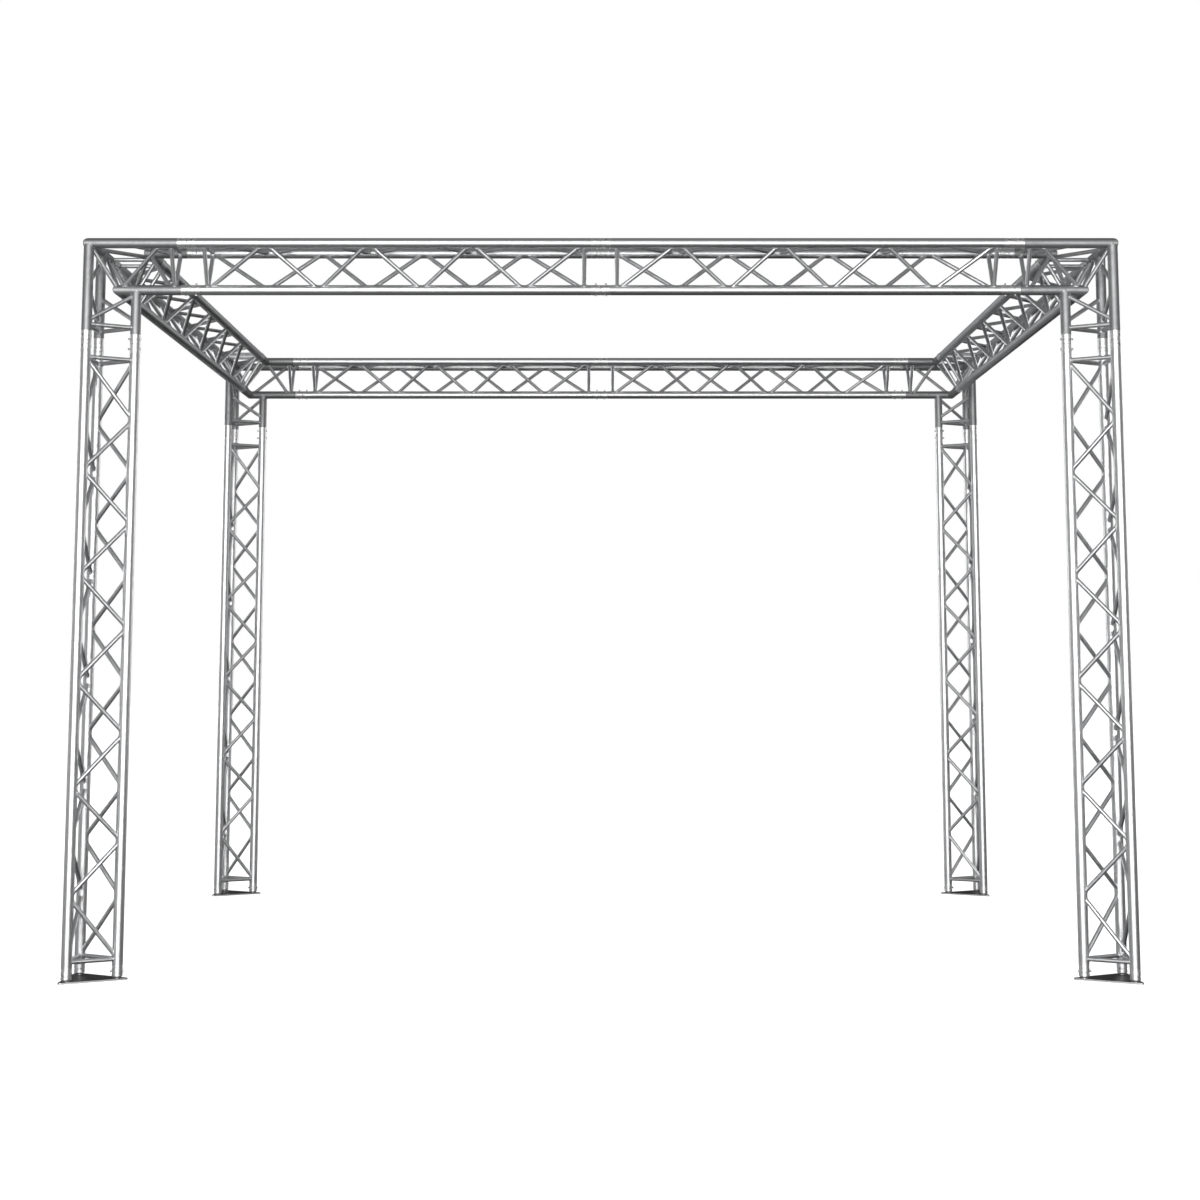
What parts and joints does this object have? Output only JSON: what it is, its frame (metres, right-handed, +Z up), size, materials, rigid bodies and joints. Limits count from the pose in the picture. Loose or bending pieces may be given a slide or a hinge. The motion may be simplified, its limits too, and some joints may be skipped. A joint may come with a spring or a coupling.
{
  "type": "lighting truss frame",
  "caption": "Rectangular free-standing frame of triangular aluminium lighting truss with mitred corner blocks, zigzag-braced beams and legs, base plates, conical couplers and taper pins.",
  "frame": {"origin": "centre of the frame's footprint, on the floor under the base plates", "axes": "+X to the right along the wide front, +Y from the front to the back, +Z up"},
  "size_m": [5.012, 4.0388, 3.515],
  "materials": {
    "corner": "satin, mill finish",
    "beam": "satin, mill finish",
    "leg": "satin, mill finish",
    "base_plate": "satin, mill finish",
    "coupler": "machined",
    "pin": "zinc plated"
  },
  "bodies": {
    "frame": {"base_plate_back_left": "base_plate", "base_plate_back_right": "base_plate", "base_plate_front_left": "base_plate", "base_plate_front_right": "base_plate", "beam_back_left": "beam", "beam_back_right": "beam", "beam_front_left": "beam", "beam_front_right": "beam", "beam_left": "beam", "beam_right": "beam", "corner_back_left": "corner", "corner_back_right": "corner", "corner_front_left": "corner", "corner_front_right": "corner", "coupler_back_center_inner": "coupler", "coupler_back_center_lower": "coupler", "coupler_back_center_outer": "coupler", "coupler_back_left_inner": "coupler", "coupler_back_left_lower": "coupler", "coupler_back_left_outer": "coupler", "coupler_back_right_inner": "coupler", "coupler_back_right_lower": "coupler", "coupler_back_right_outer": "coupler", "coupler_front_center_inner": "coupler", "coupler_front_center_lower": "coupler", "coupler_front_center_outer": "coupler", "coupler_front_left_inner": "coupler", "coupler_front_left_lower": "coupler", "coupler_front_left_outer": "coupler", "coupler_front_right_inner": "coupler", "coupler_front_right_lower": "coupler", "coupler_front_right_outer": "coupler", "coupler_left_inner": "coupler", "coupler_left_lower": "coupler", "coupler_left_outer": "coupler", "coupler_leg_back_left_inner": "coupler", "coupler_leg_back_left_outer": "coupler", "coupler_leg_back_left_rear": "coupler", "coupler_leg_back_right_inner": "coupler", "coupler_leg_back_right_outer": "coupler", "coupler_leg_back_right_rear": "coupler", "coupler_leg_front_left_inner": "coupler", "coupler_leg_front_left_outer": "coupler", "coupler_leg_front_left_rear": "coupler", "coupler_leg_front_right_inner": "coupler", "coupler_leg_front_right_outer": "coupler", "coupler_leg_front_right_rear": "coupler", "coupler_right_inner": "coupler", "coupler_right_lower": "coupler", "coupler_right_outer": "coupler", "leg_back_left": "leg", "leg_back_right": "leg", "leg_front_left": "leg", "leg_front_right": "leg"},
    "pin_inner_left": {"pin_inner_left": "pin"},
    "pin_inner_right": {"pin_inner_right": "pin"},
    "pin_lower_left": {"pin_lower_left": "pin"},
    "pin_lower_right": {"pin_lower_right": "pin"},
    "pin_outer_left": {"pin_outer_left": "pin"},
    "pin_outer_right": {"pin_outer_right": "pin"}
  },
  "joints": [
    {"name": "pin_inner_left_draw", "type": "slide", "parent": "frame", "child": "pin_inner_left", "axis": [0, 0.866, 0.5], "range_m": [0, 0.07]},
    {"name": "pin_inner_right_draw", "type": "slide", "parent": "frame", "child": "pin_inner_right", "axis": [0, 0.866, 0.5], "range_m": [0, 0.07]},
    {"name": "pin_lower_left_draw", "type": "slide", "parent": "frame", "child": "pin_lower_left", "axis": [0, 0, -1], "range_m": [0, 0.07]},
    {"name": "pin_lower_right_draw", "type": "slide", "parent": "frame", "child": "pin_lower_right", "axis": [0, 0, -1], "range_m": [0, 0.07]},
    {"name": "pin_outer_left_draw", "type": "slide", "parent": "frame", "child": "pin_outer_left", "axis": [0, -0.866, 0.5], "range_m": [0, 0.07]},
    {"name": "pin_outer_right_draw", "type": "slide", "parent": "frame", "child": "pin_outer_right", "axis": [0, -0.866, 0.5], "range_m": [0, 0.07]}
  ]
}
